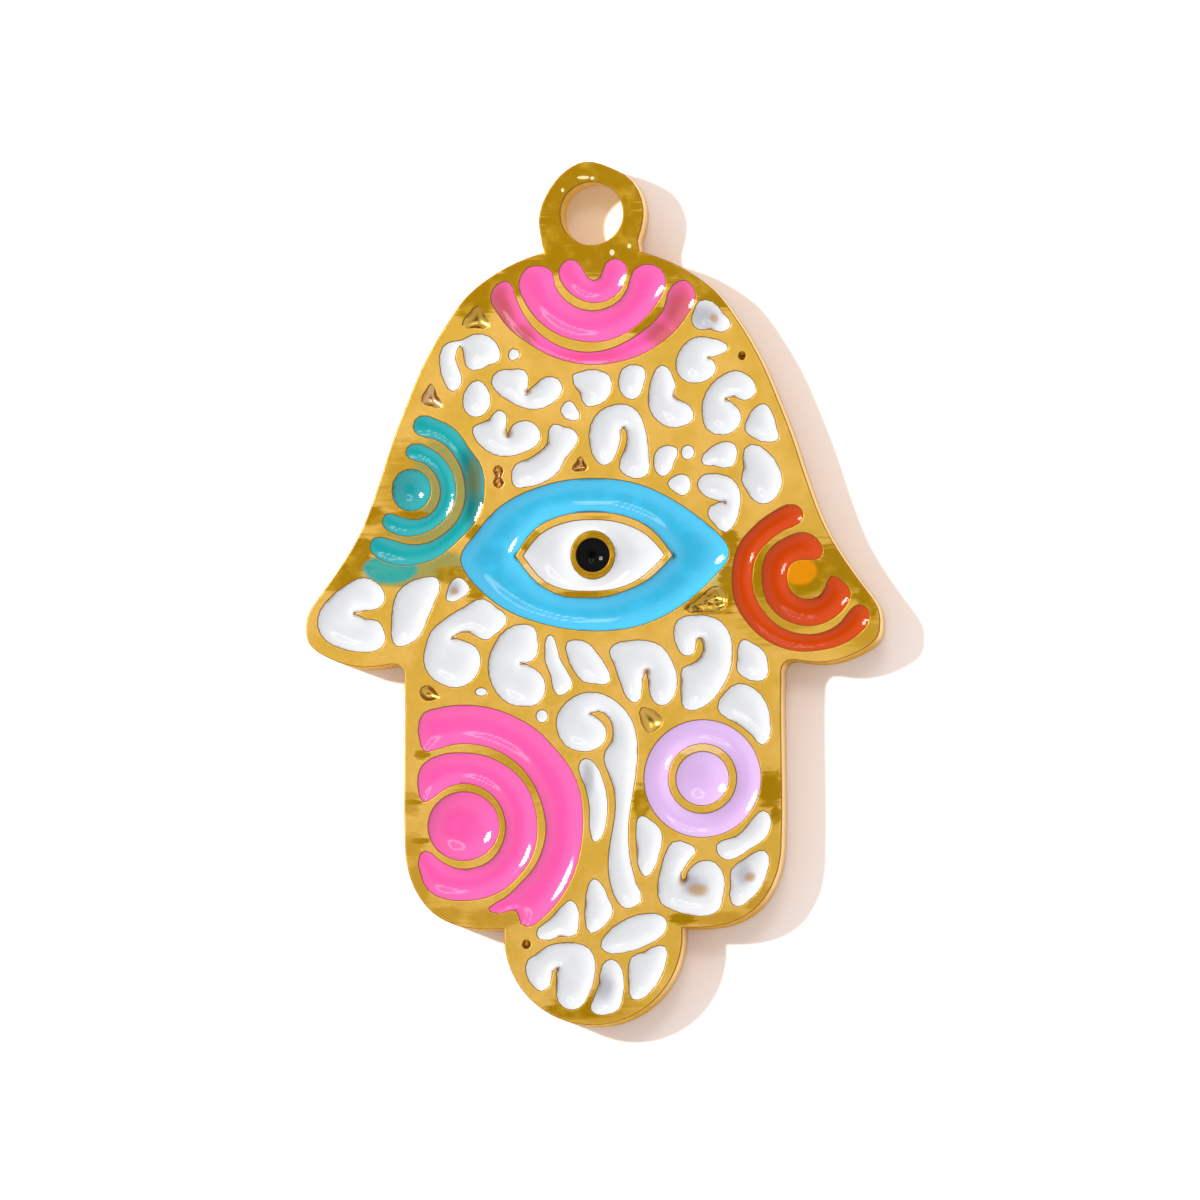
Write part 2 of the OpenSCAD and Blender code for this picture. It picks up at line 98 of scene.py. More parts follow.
def merged_copy(node):
    """A node's mesh with its triangles joined into whole flat faces."""
    bm = bmesh.new()
    bm.from_mesh(frame["nodes"][node].data)
    bmesh.ops.remove_doubles(bm, verts=bm.verts, dist=MERGE)
    bmesh.ops.dissolve_limit(bm, angle_limit=FLAT_ANGLE, verts=bm.verts, edges=bm.edges)
    bm.normal_update()
    return bm


def edges_of(faces):
    """Each edge of some faces, once, in the same order every time."""
    return list(dict.fromkeys(edge for face in faces for edge in face.edges))


def corners_of(faces):
    """Each corner of some faces, once, in the same order every time."""
    return list(dict.fromkeys(corner for face in faces for corner in face.verts))


def cut_across(bm, faces, axis):
    """Cuts faces at every grid line of one axis, and returns the smaller faces."""
    low = min(corner.co[axis] for corner in corners_of(faces))
    high = max(corner.co[axis] for corner in corners_of(faces))
    across = Vector((0, 0, 0))
    across[axis] = 1
    behind, ahead = [], faces
    for step in range(1, math.ceil((high - low) / GRID)):
        line = low + step * GRID
        cut = bmesh.ops.bisect_plane(
            bm, geom=ahead + edges_of(ahead) + corners_of(ahead), dist=MERGE,
            plane_co=across * line, plane_no=across)
        found = [piece for piece in cut["geom"] if isinstance(piece, bmesh.types.BMFace)]
        behind += [face for face in found if face.calc_center_median()[axis] < line]
        ahead = [face for face in found if face.calc_center_median()[axis] >= line]
    return behind + ahead


def sink(bm, faces, depth, passes=NARROW_SAG):
    """Sags a level surface to a depth, keeps its rim up, and returns the corners it moved."""
    faces = cut_across(bm, cut_across(bm, faces, 0), 1)
    poured = set(faces)
    corners = corners_of(faces)
    rim = [corner for corner in corners if not poured.issuperset(corner.link_faces)]
    rim_z = rim[0].co.z
    twins = bmesh.ops.find_doubles(bm, verts=corners, keep_verts=rim, dist=RIM_MERGE)
    bmesh.ops.weld_verts(bm, targetmap=twins["targetmap"])
    held = set(rim)
    loose = [corner for corner in corners if corner.is_valid and corner not in held]
    for _ in range(EVEN_PASSES):
        bmesh.ops.smooth_vert(
            bm, verts=loose, factor=SMOOTH_SHARE, use_axis_x=True, use_axis_y=True)
    for _ in range(passes):
        bmesh.ops.translate(bm, verts=loose, vec=(0, 0, -depth / passes))
        bmesh.ops.smooth_vert(bm, verts=loose, factor=SMOOTH_SHARE, use_axis_z=True)
    deepest = max(rim_z - corner.co.z for corner in loose)
    bmesh.ops.translate(bm, verts=loose, vec=(0, 0, -rim_z))
    bmesh.ops.scale(bm, verts=loose, vec=(1, 1, depth / deepest))
    bmesh.ops.translate(bm, verts=loose, vec=(0, 0, rim_z))
    return loose


def finished(bm, node, material):
    """Makes a mesh the piece that stands for a node."""
    for edge in bm.edges:
        edge.smooth = edge.calc_face_angle(0) < CREASE_ANGLE
    mesh = bpy.data.meshes.new(node + "_piece")
    bm.to_mesh(mesh)
    bm.free()
    # The shading directions of the loose triangles don't fit the new faces
    mesh.attributes.remove(mesh.attributes["custom_normal"])
    mesh.materials.append(material)
    piece = bpy.data.objects.new(node + "_piece", mesh)
    bpy.context.scene.collection.objects.link(piece)
    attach(piece, "root")
    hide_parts(node)


# Node work for the finishes


def add(tree, kind, inputs, output=0, **settings):
    """Adds a node with its settings, input values and links, and returns one of its outputs."""
    node = tree.nodes.new("ShaderNode" + kind)
    for setting, value in settings.items():
        setattr(node, setting, value)
    for name, value in inputs.items():
        socket = node.inputs[name]
        if isinstance(value, bpy.types.NodeSocket):
            tree.links.new(value, socket)
        else:
            socket.default_value = value
    return node.outputs[output]


def calculate(tree, operation, first, second):
    return add(tree, "Math", {0: first, 1: second}, operation=operation)


def product(tree, first, second):
    return calculate(tree, "MULTIPLY", first, second)


def part_of(tree, vector, axis):
    """The X, Y or Z of a place or a direction."""
    return add(tree, "SeparateXYZ", {0: vector}, output=axis)


def ramp(tree, value, span, low=0.0, high=1.0):
    """A smooth step of a value from low, where its span starts, to high, where it ends."""
    start, end = span
    inputs = {"Value": value, "From Min": start, "From Max": end, "To Min": low, "To Max": high}
    return add(tree, "MapRange", inputs, interpolation_type="SMOOTHSTEP")


def opaque(colour):
    return colour if isinstance(colour, bpy.types.NodeSocket) else (*colour, 1.0)


def blend(tree, share, first, second):
    """A colour between two colours, which are linear red, green and blue."""
    inputs = {0: share, 6: opaque(first), 7: opaque(second)}
    return add(tree, "Mix", inputs, output=2, data_type="RGBA")


def millimetres(tree):
    """Object coordinates in millimetres."""
    coordinates = add(tree, "TexCoord", {}, output="Object")
    return add(tree, "VectorMath", {0: coordinates, "Scale": PER_MM}, operation="SCALE")


def flattened(tree, where):
    """A place without its height."""
    return add(tree, "VectorMath", {0: where, 1: (1, 1, 0)}, operation="MULTIPLY")


def direction_of_face(tree):
    return add(tree, "NewGeometry", {}, output="Normal")


def grain(tree, where, per_mm, detail=2.0):
    """Noise with a number of lumps per millimetre along each axis."""
    stretched = add(tree, "VectorMath", {0: where, 1: per_mm}, operation="MULTIPLY")
    return add(tree, "TexNoise", {"Vector": stretched, "Scale": 1.0, "Detail": detail})


def spots(tree, flat, rows):
    """How far a point lies inside the nearest oval: 1 in its middle, 0 at its edge, less outside."""
    inside = None
    for x, y, half_w, half_h in rows:
        centre, half = place(x, y) * PER_MM, reach(half_w, half_h) * PER_MM
        inputs = {"Vector": flat, "Location": (*centre, 0), "Scale": (*half, 1)}
        own = add(tree, "Mapping", inputs, vector_type="TEXTURE")
        far = add(tree, "VectorMath", {0: own}, output="Value", operation="LENGTH")
        depth = calculate(tree, "SUBTRACT", 1.0, far)
        inside = depth if inside is None else calculate(tree, "MAXIMUM", inside, depth)
    return inside


BUMP_DEPTH = 0.01 * MM


def ripple(tree, shader, relief, strength):
    bump = add(tree, "Bump", {"Height": relief, "Strength": strength, "Distance": BUMP_DEPTH})
    tree.links.new(bump, shader.inputs["Normal"])


def surface(name, roughness=0.5, specular=0.5):
    """A new material with its node tree and the shader in it."""
    material = bpy.data.materials.new(name)
    material.use_nodes = True
    tree = material.node_tree
    shader = tree.nodes["Principled BSDF"]
    shader.inputs["Roughness"].default_value = roughness
    shader.inputs["Specular IOR Level"].default_value = specular
    return material, tree, shader


# Gold plating

GOLD = (0.74, 0.44, 0.060)
GOLD_TAN = (0.84, 0.50, 0.105)
OLIVE = (0.40, 0.205, 0.001)
LIGHT_OLIVE = (0.58, 0.34, 0.02)
DULL_GOLD = (0.56, 0.30, 0.02)
# Brown for the rounded rims of the face and its pockets: partly a dark joint line, partly painted
# shade of the rounding
DARK_EDGE = (0.28, 0.13, 0.012)
# Painted light and shade for the upright walls: a pale lit gold, a darker foot, darker copies for
# walls that look away from the right or to the front, and a warm gold that paints the light
# reflected in the ring's hole
LIT_WALL_GOLD = (0.95, 0.72, 0.36)
SHADED_WALL_FOOT = (0.75, 0.54, 0.28)
SHADED_BACK_WALL = (0.62, 0.38, 0.07)
SHADED_FRONT_WALL = (0.62, 0.36, 0.03)
HOLE_REFLECTION_GOLD = (0.82, 0.63, 0.19)
PIT_GOLD = (0.42, 0.26, 0.06)
PIT_MAUVE = (0.42, 0.27, 0.19)
TEAL_FILM = (0.03, 0.42, 0.38)
GREEN_FILM = (0.34, 0.33, 0.10)
PALE_FILM = (0.56, 0.50, 0.16)
# A painted highlight on the gold
PAINTED_HIGHLIGHT_GOLD = (0.95, 0.66, 0.30)
ORANGE_FILM = (0.95, 0.32, 0.006)
# Real nicks in the plating, painted with their glint
NICK_GLINT = (1.0, 0.85, 0.45)

# Columns: x, y, half width and half height of an oval, in the hand's shares
OLIVE_SPOTS = [
    [0, 1045, 160, 110], [0, 985, 140, 36], [-110, 968, 75, 24], [110, 968, 75, 24],
    [-165, 950, 50, 22], [178, 950, 52, 26], [218, 932, 45, 24], [-204, 926, 42, 30],
    [100, 898, 46, 30], [-130, 955, 14, 26], [-385, 655, 34, 18], [-412, 606, 40, 32],
    [-436, 574, 52, 26], [-320, 656, 42, 8], [-246, 578, 38, 13], [-202, 562, 26, 22],
    [-206, 632, 22, 14], [3, 550, 85, 10], [0, 602, 70, 54], [-112, 622, 26, 18],
    [238, 612, 22, 32], [236, 560, 20, 46], [205, 540, 62, 20], [430, 580, 62, 50],
    [292, 582, 26, 64], [370, 575, 56, 44], [480, 545, 26, 36], [84, 284, 18, 28],
    [309, 300, 30, 30], [318, 266, 12, 18], [155, 134, 30, 9],
    [-20, 22, 80, 16], [-298, 348, 20, 8], [-314, 288, 22, 5], [-300, 238, 20, 5],
]
DULL_SPOTS = [
    [-318, 285, 26, 22], [-315, 230, 26, 22], [-306, 180, 28, 42], [-262, 142, 44, 16],
    [-168, 138, 62, 18], [0, 25, 90, 30], [218, 134, 72, 12], [288, 160, 30, 34],
    [-165, 300, 90, 90], [-300, 690, 90, 80], [330, 560, 110, 90], [475, 500, 40, 30],
    [-320, 640, 70, 40], [190, 262, 60, 12],
]
TEAL_SPOTS = [[-352, 587, 54, 21]]
GREEN_SPOTS = [[-275, 590, 66, 24], [-262, 690, 62, 76], [-335, 574, 60, 12], [-300, 640, 70, 22]]
PALE_SPOTS = [[222, 576, 30, 24]]
PAINTED_HIGHLIGHT_SPOTS = [[-98, 580, 38, 16], [102, 582, 36, 16], [142, 602, 12, 12], [191, 352, 60, 10]]
ORANGE_SPOTS = [[361, 578, 34, 20]]
HOLE_SPOT = [[0, 1041, 64, 48]]
MAUVE_PITS = [[-280, 808, 44, 36], [-163, 704, 34, 34], [-21, 717, 34, 26]]
NICKS = [
    [-14, 1087, 12, 2.5], [2, 1086, 4, 2.5], [-50, 1071, 3, 3],
    [36, 990, 5, 4.5], [66, 998, 4, 3.5],
]

# Films under the olive tarnish and over it, with painted highlights among those under it and nicks
# painted with their glint among those over it. Columns: places, colour, its greatest share
UNDER_FILMS_AND_HIGHLIGHTS = [
    (GREEN_SPOTS, GREEN_FILM, 0.85), (PALE_SPOTS, PALE_FILM, 0.75), (PAINTED_HIGHLIGHT_SPOTS, PAINTED_HIGHLIGHT_GOLD, 0.8),
]
OVER_FILMS_AND_GLINTS = [
    (NICKS, NICK_GLINT, 0.9), (TEAL_SPOTS, TEAL_FILM, 0.95), (ORANGE_SPOTS, ORANGE_FILM, 0.85),
]
# Spans in spots, from where a colour starts to where it is whole
UNDER_SPAN = (0.0, 0.3)
OVER_SPAN = (0.0, 0.25)
DULL_SPAN = (0.0, 0.5)
OLIVE_SPAN = (0.05, 0.4)
MAUVE_SPAN = (0.0, 0.1)
HOLE_SPAN = (0.0, 0.08)
DULL_SHARE = 0.75
OLIVE_SHARE = 0.95
PIT_SHARE = 0.65

# Lumps per millimetre along each axis, and spans in their noise
CLOUD_GRAIN = (0.6, 0.6, 0.6)
TAN_CLOUDS = (0.38, 0.64)
PATCH_GRAIN, PATCH_DETAIL = (1.6, 1.6, 1.6), 3.0
LIGHT_PATCHES = (0.45, 0.75)
STREAK_GRAIN, STREAK_DETAIL = (0.7, 10.0, 1.0), 4.0
STREAK_MIDDLE = 0.5
STREAK_REACH = 1.2
SPECK_GRAIN = (14.0, 14.0, 14.0)
SATIN_SPECKS = (0.3, 0.7)

# Spans in height over the back, in millimetres, and in slope: 1 is level, 0 is upright
FACE = FACE_Z * PER_MM
PIT_HEIGHTS, PIT_SLOPES = (FACE - 0.13, FACE - 0.18), (0.2, 0.4)
RIM_HEIGHTS, RIM_SLOPES = (FACE - 0.12, FACE - 0.06), (0.99, 0.85)
SIDE_HEIGHTS, SIDE_SLOPES = (FACE - 0.1, FACE - 0.3), (0.3, 0.1)
# Span in height over which the walls darken towards their foot, a painted shade
LOW_SIDE = (FACE - 0.4, 0.2)
# Spans in how far a wall looks to the right and to the front, for the painted light and shade on the
# walls
LOOKS_RIGHT = (0.1, 0.5)
LOOKS_FRONT = (0.3, 0.9)

# Roughness of the plating, and how rims, sides and pits differ from it
SATIN_LOW, SATIN_HIGH = 0.36, 0.41
CAST_ROUGHER = 0.4
PIT_SMOOTHER = 0.16
# How much of their metal shine the rims lose, so that their brown shows as grime and painted shade
RIM_GRIME_AND_SHADE = 0.55
STREAK_RELIEF = 0.5
GOLD_BUMP = 0.04


def with_films_and_glints(tree, flat, colour, films, span):
    """Gold with thin films over it, and painted highlights and glints among them."""
    for rows, film_and_glint, share in films:
        covered = ramp(tree, spots(tree, flat, rows), span, high=share)
        colour = blend(tree, covered, colour, film_and_glint)
    return colour


def gold_face(tree, where, flat, streaks):
    """Colour of the face: clouded gold, dull and olive in places, with its films, painted highlights
    and nicks painted with their glint.
    """
    clouds = grain(tree, where, CLOUD_GRAIN)
    colour = blend(tree, ramp(tree, clouds, TAN_CLOUDS), GOLD, GOLD_TAN)
    rough_edge = product(tree, calculate(tree, "SUBTRACT", streaks, STREAK_MIDDLE), STREAK_REACH)
    dull = calculate(tree, "ADD", spots(tree, flat, DULL_SPOTS), rough_edge)
    colour = blend(tree, ramp(tree, dull, DULL_SPAN, high=DULL_SHARE), colour, DULL_GOLD)
    colour = with_films_and_glints(tree, flat, colour, UNDER_FILMS_AND_HIGHLIGHTS, UNDER_SPAN)
    stained = calculate(tree, "ADD", spots(tree, flat, OLIVE_SPOTS), rough_edge)
    patches = grain(tree, where, PATCH_GRAIN, PATCH_DETAIL)
    mottled = blend(tree, ramp(tree, patches, LIGHT_PATCHES), OLIVE, LIGHT_OLIVE)
    colour = blend(tree, ramp(tree, stained, OLIVE_SPAN, high=OLIVE_SHARE), colour, mottled)
    return with_films_and_glints(tree, flat, colour, OVER_FILMS_AND_GLINTS, OVER_SPAN)


def painted_wall_light(tree, flat, height, looks):
    """Painted light and shade on the upright walls: pale lit gold, darker towards the foot, darker
    where they look away from the right or to the front, and a warm gold in the ring's hole that
    paints the light reflected there.
    """
    wall = blend(tree, ramp(tree, height, LOW_SIDE), LIT_WALL_GOLD, SHADED_WALL_FOOT)
    wall = blend(tree, ramp(tree, part_of(tree, looks, "X"), LOOKS_RIGHT), SHADED_BACK_WALL, wall)
    to_front = product(tree, part_of(tree, looks, "Y"), -1.0)
    wall = blend(tree, ramp(tree, to_front, LOOKS_FRONT), wall, SHADED_FRONT_WALL)
    return blend(tree, ramp(tree, spots(tree, flat, HOLE_SPOT), HOLE_SPAN), wall, HOLE_REFLECTION_GOLD)


def gold_plating():
    material, tree, shader = surface("gold plating")
    where = millimetres(tree)
    flat = flattened(tree, where)
    height = part_of(tree, where, "Z")
    looks = direction_of_face(tree)
    slope = part_of(tree, looks, "Z")
    streaks = grain(tree, where, STREAK_GRAIN, STREAK_DETAIL)
    specks = grain(tree, where, SPECK_GRAIN)
    pit = product(tree, ramp(tree, height, PIT_HEIGHTS), ramp(tree, slope, PIT_SLOPES))
    rim = product(tree, ramp(tree, slope, RIM_SLOPES), ramp(tree, height, RIM_HEIGHTS))
    side = product(tree, ramp(tree, slope, SIDE_SLOPES), ramp(tree, height, SIDE_HEIGHTS))

    colour = gold_face(tree, where, flat, streaks)
    mauve = ramp(tree, spots(tree, flat, MAUVE_PITS), MAUVE_SPAN)
    pit_colour = blend(tree, mauve, PIT_GOLD, PIT_MAUVE)
    colour = blend(tree, product(tree, pit, PIT_SHARE), colour, pit_colour)
    # Rounded rims turn brown: partly a dark joint line, partly painted shade
    colour = blend(tree, rim, colour, DARK_EDGE)
    # The upright walls take painted light and shade
    colour = blend(tree, side, colour, painted_wall_light(tree, flat, height, looks))
    tree.links.new(colour, shader.inputs["Base Color"])

    satin = ramp(tree, specks, SATIN_SPECKS, SATIN_LOW, SATIN_HIGH)
    as_cast = product(tree, calculate(tree, "MAXIMUM", rim, side), CAST_ROUGHER)
    rough = calculate(tree, "ADD", satin, as_cast)
    polished = calculate(tree, "SUBTRACT", rough, product(tree, pit, PIT_SMOOTHER))
    tree.links.new(polished, shader.inputs["Roughness"])
    metallic_share = calculate(tree, "SUBTRACT", 1.0, product(tree, rim, RIM_GRIME_AND_SHADE))
    tree.links.new(metallic_share, shader.inputs["Metallic"])
    relief = calculate(tree, "ADD", product(tree, streaks, STREAK_RELIEF), specks)
    ripple(tree, shader, relief, GOLD_BUMP)
    return material


# Enamel

WHITE = (0.455, 0.458, 0.468)
# Grey where the white lies deep in its hollow middle: painted shade
WHITE_DEEP_SHADE = (0.38, 0.383, 0.395)
BLACK = (0.001, 0.0008, 0.001)
BROWN = (0.27, 0.16, 0.06)

# Places where the enamel is thin and the metal below shows through; round them on the white, painted
# shade and reflection; and darker patches on the teal and the pink.
# Columns: x, y, half width and half height of an oval, in the hand's shares
# Painted grey shade and reflection on the white cells
WHITE_PAINTED_SHADE = [
    [200, 904, 34, 26], [-242, 560, 20, 16], [262, 192, 22, 22], [170, 180, 34, 18],
    [-8, 318, 16, 34], [18, 50, 26, 24],
]
WHITE_THIN = [
    [212, 904, 12, 9], [-241, 558, 10, 8], [272, 188, 14, 9], [180, 172, 26, 13],
    [156, 184, 12, 10], [94, 451, 10, 8], [-147, 760, 14, 9], [-112, 813, 10, 6],
]
# Darker teal on the teal's outer arc
TEAL_DARKER = [[-212, 704, 34, 66], [-204, 664, 28, 44]]
TEAL_THIN = [[-206, 702, 20, 36]]
# Darker pink along the top of the crown's outer arc
PINK_DARKER = [[0, 850, 150, 24]]
PINK_THIN = [[-160, 912, 46, 56], [-126, 884, 44, 28], [156, 910, 46, 56], [122, 884, 44, 26]]

# Columns: colour of the enamel, colour where it lies deep (for the white, a painted grey shade),
# specular level
ENAMELS = {
    "pink_enamel": ((0.56, 0.062, 0.24), (0.53, 0.052, 0.215), 0.5),
    "teal_enamel": ((0.004, 0.215, 0.225), (0.002, 0.165, 0.18), 0.5),
    "orange_enamel": ((0.34, 0.032, 0.0005), (0.29, 0.018, 0.0003), 0.2),
    "blue_enamel": ((0.032, 0.315, 0.50), (0.020, 0.24, 0.37), 0.5),
    "lilac_enamel": ((0.42, 0.275, 0.48), (0.39, 0.25, 0.45), 0.5),
    "white_enamel": (WHITE, WHITE_DEEP_SHADE, 0.5),
    "black_enamel": (BLACK, BLACK, 0.08),
}
# Stains, painted shade on the white and darker patches. Columns: places, colour there and its
# greatest share
MARKS_AND_PAINTED_SHADE = {
    "pink_enamel": [(PINK_DARKER, (0.47, 0.045, 0.15), 0.7), (PINK_THIN, (0.30, 0.05, 0.05), 0.85)],
    "teal_enamel": [(TEAL_DARKER, (0.002, 0.09, 0.085), 0.8), (TEAL_THIN, (0.07, 0.09, 0.03), 0.85)],
    "white_enamel": [(WHITE_PAINTED_SHADE, (0.22, 0.215, 0.25), 0.65), (WHITE_THIN, BROWN, 0.8)],
}
MARK_CLOUDS = 0.4
MARK_SPAN = (0.2, 0.95)

# The deep colour, a painted grey shade on the white: its span in height, in millimetres, and its
# share by the clouds in the enamel
DEEP_HEIGHTS = (FACE - 0.08, FACE - 0.32)
DEEP_GRAIN = (1.6, 1.6, 1.6)
DEEP_CLOUDS = (0.25, 0.6)
DEEP_LEAST, DEEP_MOST = 0.4, 1.0

# What the enamel's red, green and blue are multiplied by where it rises steeply at the metal, for a
# dark brown line there: partly the dark metal joint and partly painted shade
RIM_SHADE_TINT = (0.50, 0.25, 0.12)
TINT_SLOPES = (0.86, 0.72)
TINT_SHARE = 0.85

ENAMEL_ROUGHNESS = 0.07
WAVE_GRAIN = (4.0, 4.0, 4.0)
ENAMEL_BUMP = 0.012


def enamel(name):
    """One enamel: deeper in its middle (a painted grey shade on the white), stained and darker in
    places, with painted shade on the white cells, and tinted at the metal by a line that is partly
    painted shade.
    """
    colour, deep, specular = ENAMELS[name]
    material, tree, shader = surface(name, ENAMEL_ROUGHNESS, specular)
    where = millimetres(tree)
    flat = flattened(tree, where)
    clouds = grain(tree, where, DEEP_GRAIN)
    depth = ramp(tree, part_of(tree, where, "Z"), DEEP_HEIGHTS)
    share = product(tree, depth, ramp(tree, clouds, DEEP_CLOUDS, DEEP_LEAST, DEEP_MOST))
    mixed = blend(tree, share, colour, deep)
    for rows, marking, most in MARKS_AND_PAINTED_SHADE.get(name, []):
        uneven = product(tree, clouds, MARK_CLOUDS)
        marked = calculate(tree, "ADD", spots(tree, flat, rows), uneven)
        mixed = blend(tree, ramp(tree, marked, MARK_SPAN, high=most), mixed, marking)
    # Dark brown line at the metal, partly a dark joint and partly painted shade
    tinted = [part * tint for part, tint in zip(colour, RIM_SHADE_TINT)]
    slope = part_of(tree, direction_of_face(tree), "Z")
    mixed = blend(tree, ramp(tree, slope, TINT_SLOPES, high=TINT_SHARE), mixed, tinted)
    tree.links.new(mixed, shader.inputs["Base Color"])
    ripple(tree, shader, grain(tree, where, WAVE_GRAIN), ENAMEL_BUMP)
    return material


# Columns: enamel, depth of the sag in its middle in millimetres, how far in the sag reaches
FILLS = {
    "crown_arc_outer": ("pink_enamel", 0.10, WIDE_SAG),
    "crown_arc_middle": ("pink_enamel", 0.15, WIDE_SAG),
    "crown_arc_inner": ("pink_enamel", 0.11, WIDE_SAG),
    "teal_arc_outer": ("teal_enamel", 0.10, WIDE_SAG),
    "teal_arc_inner": ("teal_enamel", 0.09, WIDE_SAG),
    "teal_dot": ("teal_enamel", 0.24, WIDE_SAG),
    "orange_arc_outer": ("orange_enamel", 0.12, WIDE_SAG),
    "orange_arc_inner": ("orange_enamel", 0.14, WIDE_SAG),
    "eye_blue": ("blue_enamel", 0.25, WIDE_SAG),
    "eye_white": ("white_enamel", 0.20, WIDE_SAG),
    "eye_pupil": ("black_enamel", 0.22, WIDE_SAG),
    "pink_arc_outer": ("pink_enamel", 0.18, WIDE_SAG),
    "pink_arc_inner": ("pink_enamel", 0.16, WIDE_SAG),
    "pink_dot": ("pink_enamel", 0.28, WIDE_SAG),
    "lilac_ring": ("lilac_enamel", 0.12, WIDE_SAG),
    "lilac_dot": ("lilac_enamel", 0.20, WIDE_SAG),
    "white_cells_above": ("white_enamel", 0.19, NARROW_SAG),
    "white_cells_below": ("white_enamel", 0.19, NARROW_SAG),
}
# The enamel clings to the metal this far under the face, and closes most of the gap to it
RIM_UNDER_FACE = 0.025 * MM
FILL_SPREAD = 0.014 * MM


def pour_fill(node, depth, passes, material):
    """One fill, drawn up to the metal at its rim and sunk in its middle."""
    bm = merged_copy(node)
    top = [face for face in bm.faces if face.normal.z > LOOKS_UP]
    rim = corners_of(top)
    lift = FACE_Z - RIM_UNDER_FACE - rim[0].co.z
    bmesh.ops.translate(bm, verts=rim, vec=(0, 0, lift))
    for corner in bm.verts:
        walls = [face.normal for face in corner.link_faces if abs(face.normal.z) < LOOKS_UP]
        corner.co += sum(walls, Vector()).normalized() * FILL_SPREAD
    sink(bm, top, depth * MM, passes)
    bm.normal_update()
    finished(bm, node, material)


# Plate

# Middles of the pockets that hold no enamel, and of the one that is rough. Columns: x, y
BARE_PITS = [
    [-202, 908], [-280, 808], [-163, 704], [-21, 717], [-285, 427], [103, 390], [262, 855],
    [-116, 104],
]
ROUGH_PIT = [200, 540]
PIT_RIM_UNDER_FACE = 0.16 * MM
PIT_SINK = 0.13 * MM
LUMPS_PER_MM = 5.0
LUMP_HEIGHT = 0.09 * MM
# How far the metal's edges are rounded on the face and on the back
RIM_ROUND = 0.04 * MM
BACK_ROUND = 0.09 * MM
ROUND_STEPS = 3


def dish_pit(bm, centre):
    """Turns a bare pocket's flat floor into a bowl, and returns the corners of its inside."""
    floors = [face for face in bm.faces
              if face.normal.z > LOOKS_UP and abs(face.calc_center_median().z - POCKET_Z) < NEAR]
    floor = min(floors, key=lambda face: (face.calc_center_bounds().xy - centre).length)
    lift = FACE_Z - PIT_RIM_UNDER_FACE - POCKET_Z
    bmesh.ops.translate(bm, verts=floor.verts[:], vec=(0, 0, lift))
    return sink(bm, [floor], PIT_SINK)


def cast_plate(material):
    """The metal hand, with bowls in its bare pockets and rounded edges."""
    bm = merged_copy("hamsa_plate")
    for x, y in BARE_PITS:
        dish_pit(bm, place(x, y))
    for corner in dish_pit(bm, place(*ROUGH_PIT)):
        corner.co.z += noise.noise(corner.co * PER_MM * LUMPS_PER_MM) * LUMP_HEIGHT
    for height, offset in ((FACE_Z, RIM_ROUND), (0.0, BACK_ROUND)):
        edges = [edge for edge in bm.edges
                 if all(abs(corner.co.z - height) < NEAR for corner in edge.verts)
                 and edge.calc_face_angle(0) > CREASE_ANGLE]
        bmesh.ops.bevel(
            bm, geom=edges, offset=offset, offset_type="OFFSET", segments=ROUND_STEPS,
            profile=0.5, affect="EDGES", clamp_overlap=False, material=-1)
    bm.normal_update()
    for face in bm.faces:
        face.smooth = abs(face.normal.z) < LEVEL
    finished(bm, "hamsa_plate", material)


# Floor, lights and camera

FLOOR_SIZE = 3.0
FLOOR_WHITE = (0.87, 0.775, 0.74)
FLOOR_LIGHTER = 1.01
FLOOR_ROUGHNESS = 0.9
FLOOR_GRAIN = (0.02, 0.02, 0.02)


def lay_floor():
    bm = bmesh.new()
    bmesh.ops.create_grid(bm, x_segments=1, y_segments=1, size=FLOOR_SIZE / 2)
    mesh = bpy.data.meshes.new("floor")
    bm.to_mesh(mesh)
    bm.free()
    floor = bpy.data.objects.new("floor", mesh)
    bpy.context.scene.collection.objects.link(floor)
    material, tree, shader = surface("pale board", FLOOR_ROUGHNESS, specular=0.0)
    clouds = grain(tree, millimetres(tree), FLOOR_GRAIN)
    lighter = tuple(min(1.0, part * FLOOR_LIGHTER) for part in FLOOR_WHITE)
    tree.links.new(blend(tree, clouds, FLOOR_WHITE, lighter), shader.inputs["Base Color"])
    mesh.materials.append(material)


def leaning(across, along):
    """A direction up from the face, leaning by two angles towards +X and +Y."""
    x, y = math.sin(math.radians(across)), math.sin(math.radians(along))
    return Vector((x, y, math.sqrt(1 - x * x - y * y)))


# Brightness of the room round the pendant. Columns: height of the direction, brightness
ROOM = [
    [0.0, 0.45], [0.35, 0.85], [0.6, 1.1], [0.86, 1.1], [0.94, 0.65], [0.975, 0.25], [1.0, 0.13],
]


def light_room():
    world = bpy.data.worlds.new("room")
    bpy.context.scene.world = world
    world.use_nodes = True
    tree = world.node_tree
    height = part_of(tree, add(tree, "TexCoord", {}, output="Generated"), "Z")
    shades = tree.nodes.new("ShaderNodeValToRGB")
    shades.color_ramp.interpolation = "EASE"
    # A new ramp has two elements already
    for _ in ROOM[2:]:
        shades.color_ramp.elements.new(0.5)
    brightest = max(bright for _, bright in ROOM)
    for element, (at, bright) in zip(shades.color_ramp.elements, ROOM):
        element.position = at
        element.color = opaque((bright / brightest,) * 3)
    tree.links.new(height, shades.inputs["Fac"])
    background = tree.nodes["Background"]
    tree.links.new(shades.outputs["Color"], background.inputs["Color"])
    background.inputs["Strength"].default_value = brightest


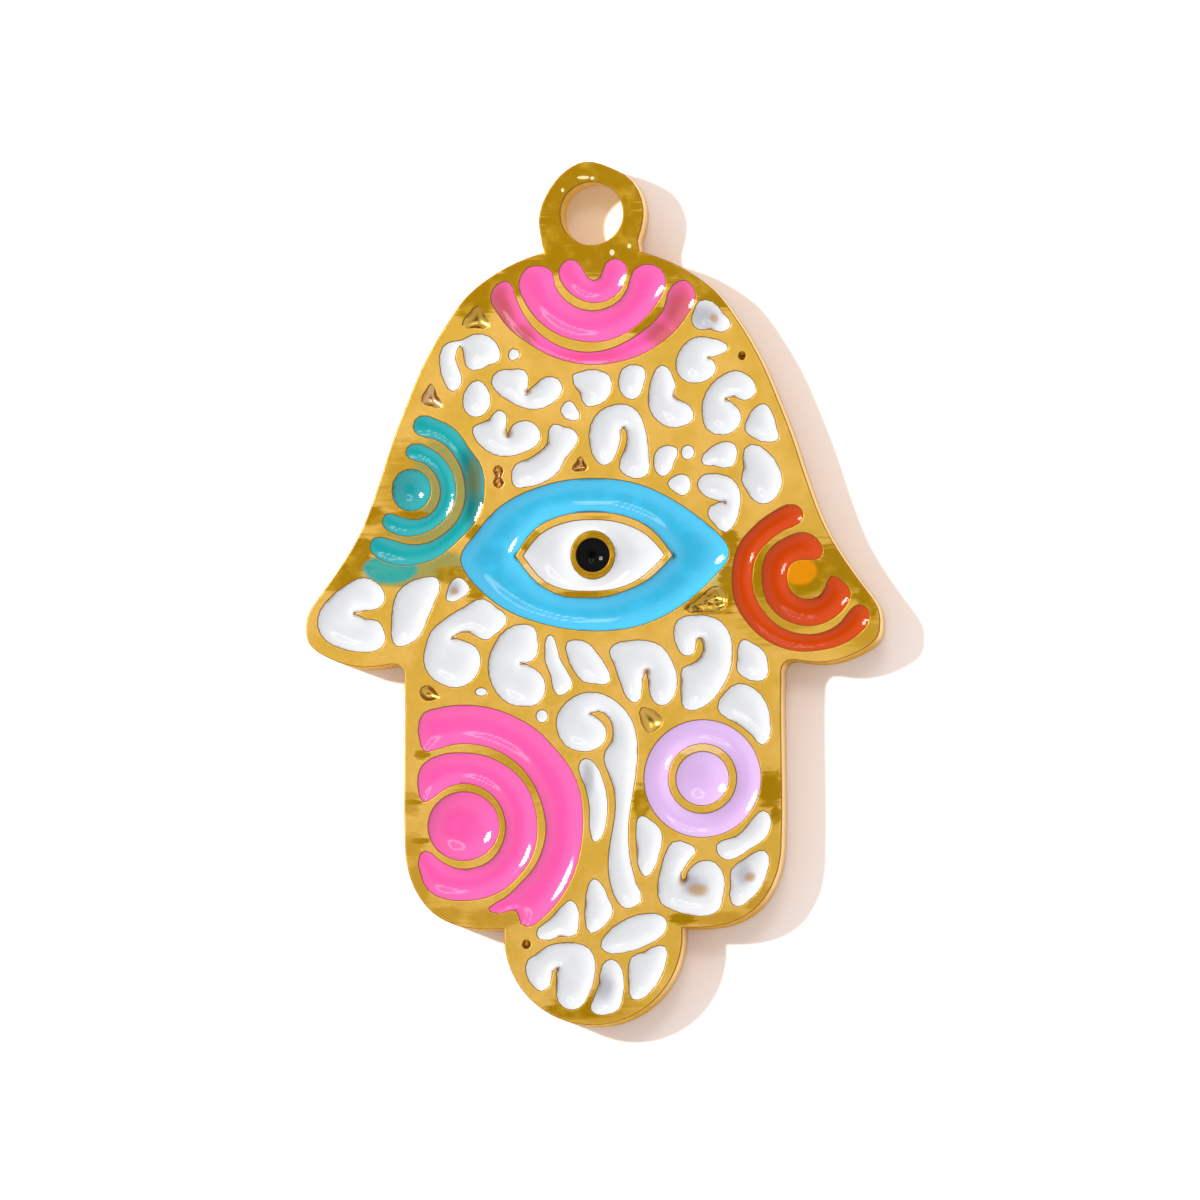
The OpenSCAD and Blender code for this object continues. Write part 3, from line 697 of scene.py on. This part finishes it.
# Columns: lean to +X and +Y in degrees, width, power in watts, whether it lights, mirrors
LAMPS = {
    "key light": ((-39.0, 13.3), 0.025, 2.6, True, False),
    "key glow": ((-44.0, 18.0), 0.11, 1.45, False, True),
    "top light": ((2.0, 29.0), 0.12, 0.3, True, False),
    "top glow": ((2.0, 29.0), 0.19, 0.36, False, True),
}
LAMP_DISTANCE = 0.45


def hang_lamp(name, lean, width, power, lights, mirrors):
    """A round lamp that looks at the pendant, and lights it or mirrors in it."""
    data = bpy.data.lights.new(name, "AREA")
    data.shape = "DISK"
    data.size = width
    data.energy = power
    lamp = bpy.data.objects.new(name, data)
    direction = leaning(*lean)
    lamp.location = direction * LAMP_DISTANCE
    lamp.rotation_mode = "QUATERNION"
    lamp.rotation_quaternion = direction.to_track_quat("Z", "Y")
    lamp.visible_diffuse, lamp.visible_glossy = lights, mirrors
    bpy.context.scene.collection.objects.link(lamp)


# The frame is 1200 pixels wide, and a millimetre of the face takes this many of them
PHOTO_WIDTH = 1200
PIXELS_PER_MM = 28.96
CAMERA_LEAN = (7.7, -4.0)
CAMERA_ROLL = math.radians(0.13)
CAMERA_DISTANCE = 0.6
FRAME_MIDDLE = Vector((0.272, -0.260, 0)) * MM + Vector((0, 0, FACE_Z))
SENSOR_MM = 36.0
SEES_FROM, SEES_TO = 0.01, 10.0


def set_camera():
    data = bpy.data.cameras.new("camera")
    data.sensor_width = SENSOR_MM
    data.lens = SENSOR_MM * CAMERA_DISTANCE / (PHOTO_WIDTH / PIXELS_PER_MM * MM)
    data.clip_start, data.clip_end = SEES_FROM, SEES_TO
    camera = bpy.data.objects.new("camera", data)
    direction = leaning(*CAMERA_LEAN)
    camera.location = FRAME_MIDDLE + direction * CAMERA_DISTANCE
    right = Vector((0, 1, 0)).cross(direction).normalized()
    upright = Matrix((right, direction.cross(right), direction)).transposed()
    camera.rotation_mode = "QUATERNION"
    camera.rotation_quaternion = upright.to_quaternion() @ Quaternion((0, 0, 1), -CAMERA_ROLL)
    bpy.context.scene.collection.objects.link(camera)
    bpy.context.scene.camera = camera


set_camera()
lay_floor()
light_room()
for name, lamp in LAMPS.items():
    hang_lamp(name, *lamp)
bpy.context.scene.view_settings.view_transform = "Standard"

enamels = {name: enamel(name) for name in ENAMELS}
for node, (slot, depth, passes) in FILLS.items():
    pour_fill(node, depth, passes, enamels[slot])
cast_plate(gold_plating())
